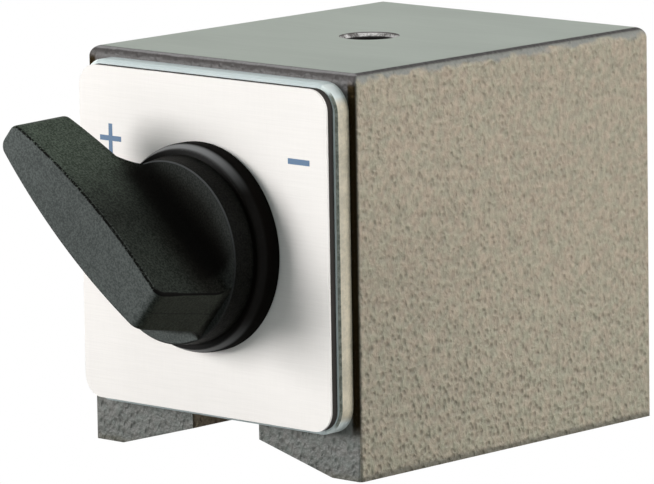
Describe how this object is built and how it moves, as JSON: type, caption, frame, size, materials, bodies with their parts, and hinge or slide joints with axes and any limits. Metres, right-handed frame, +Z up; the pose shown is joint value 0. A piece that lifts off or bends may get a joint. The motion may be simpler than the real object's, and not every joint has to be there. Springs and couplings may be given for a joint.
{
  "type": "magnetic base",
  "caption": "Switchable magnetic base: a steel block with a vee foot, a threaded hole on top for a post, and a front lever that turns the magnet inside on and off.",
  "frame": {"origin": "under the middle of the steel block, level with its two feet", "axes": "+Z up along the post thread, +Y towards the back along the rotor axis, +X to the right seen from the lever's side"},
  "size_m": [0.05, 0.082, 0.055],
  "materials": {
    "paint": "hammertone",
    "spacer_metal": "satin",
    "steel": "satin",
    "plate_metal": "matte",
    "foam": "matte",
    "label_sheet": "matte",
    "bronze": "satin",
    "cover_metal": "hammertone",
    "spring_steel": "satin",
    "magnet_alloy": "matte",
    "brass": "satin",
    "seal_rubber": "matte",
    "collar_plastic": "gloss",
    "knob_plastic": "fine grain"
  },
  "bodies": {
    "base": {"left_pole": "paint", "right_pole": "paint", "top_spacer": "paint", "lower_spacer": "spacer_metal", "top_dowels": "steel", "lower_dowels": "steel", "front_plate": "plate_metal", "plate_screws": "steel", "stop_pin": "steel", "label_pad": "foam", "label_plate": "label_sheet", "front_bush": "bronze", "thrust_washer": "bronze", "rear_cover": "cover_metal", "rear_bush": "bronze", "spring_washer": "spring_steel"},
    "rotor": {"magnet": "magnet_alloy", "left_shoe": "steel", "right_shoe": "steel", "drive_spindle": "brass", "rear_journal": "brass", "front_rotor_screws": "steel", "rear_rotor_screws": "steel", "spindle_seal": "seal_rubber", "knob_collar": "collar_plastic", "knob_clip": "spring_steel", "knob": "knob_plastic"}
  },
  "joints": [
    {"name": "knob_turn", "type": "hinge", "parent": "base", "child": "rotor", "pos_m": [0, -0.03, 0.03], "axis": [0, 1, 0], "range_deg": [0, 100]}
  ]
}
